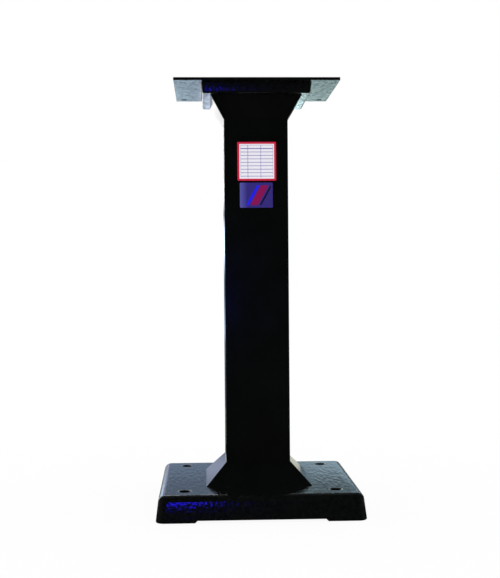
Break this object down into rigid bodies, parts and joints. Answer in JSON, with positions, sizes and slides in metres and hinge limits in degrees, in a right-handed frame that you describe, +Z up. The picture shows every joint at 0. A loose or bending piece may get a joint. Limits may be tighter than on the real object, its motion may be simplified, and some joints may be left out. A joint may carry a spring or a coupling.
{
  "type": "bench grinder stand",
  "caption": "Floor stand for a bench grinder: square cast base, sheet steel column with flared ends, and a flat cast head with a rim underneath.",
  "frame": {"origin": "on the floor, under the middle of the square base", "axes": "+Z up; -Y is the front, the side with the labels; +X to the right seen from the front"},
  "size_m": [0.3834, 0.3834, 0.813],
  "materials": {
    "cast_black": "semi-gloss black paint over a lightly pebbled casting",
    "column_black": "smooth semi-gloss black paint on sheet steel",
    "zinc_steel": "bright zinc plate",
    "raw_steel": "mill finish with weld heat marks",
    "black_oxide": "black oxide, slightly worn at the socket",
    "label_white": "white printed film with a red border",
    "label_blue": "glossy blue printed film"
  },
  "bodies": {
    "root": {"base_casting": "cast_black", "base_flat_washers": "zinc_steel", "base_spring_washers": "zinc_steel", "base_bolts": "zinc_steel", "column_foot_plate": "raw_steel", "foot_weld_nuts": "raw_steel", "foot_plate_welds": "raw_steel", "column_front_panel": "column_black", "column_right_panel": "column_black", "column_rear_panel": "column_black", "column_left_panel": "column_black", "column_seam_welds": "column_black", "column_head_plate": "raw_steel", "head_plate_welds": "raw_steel", "head_weld_nuts": "raw_steel", "head_casting": "cast_black", "head_screws": "black_oxide", "upper_label": "label_white", "lower_label": "label_blue"}
  },
  "joints": []
}
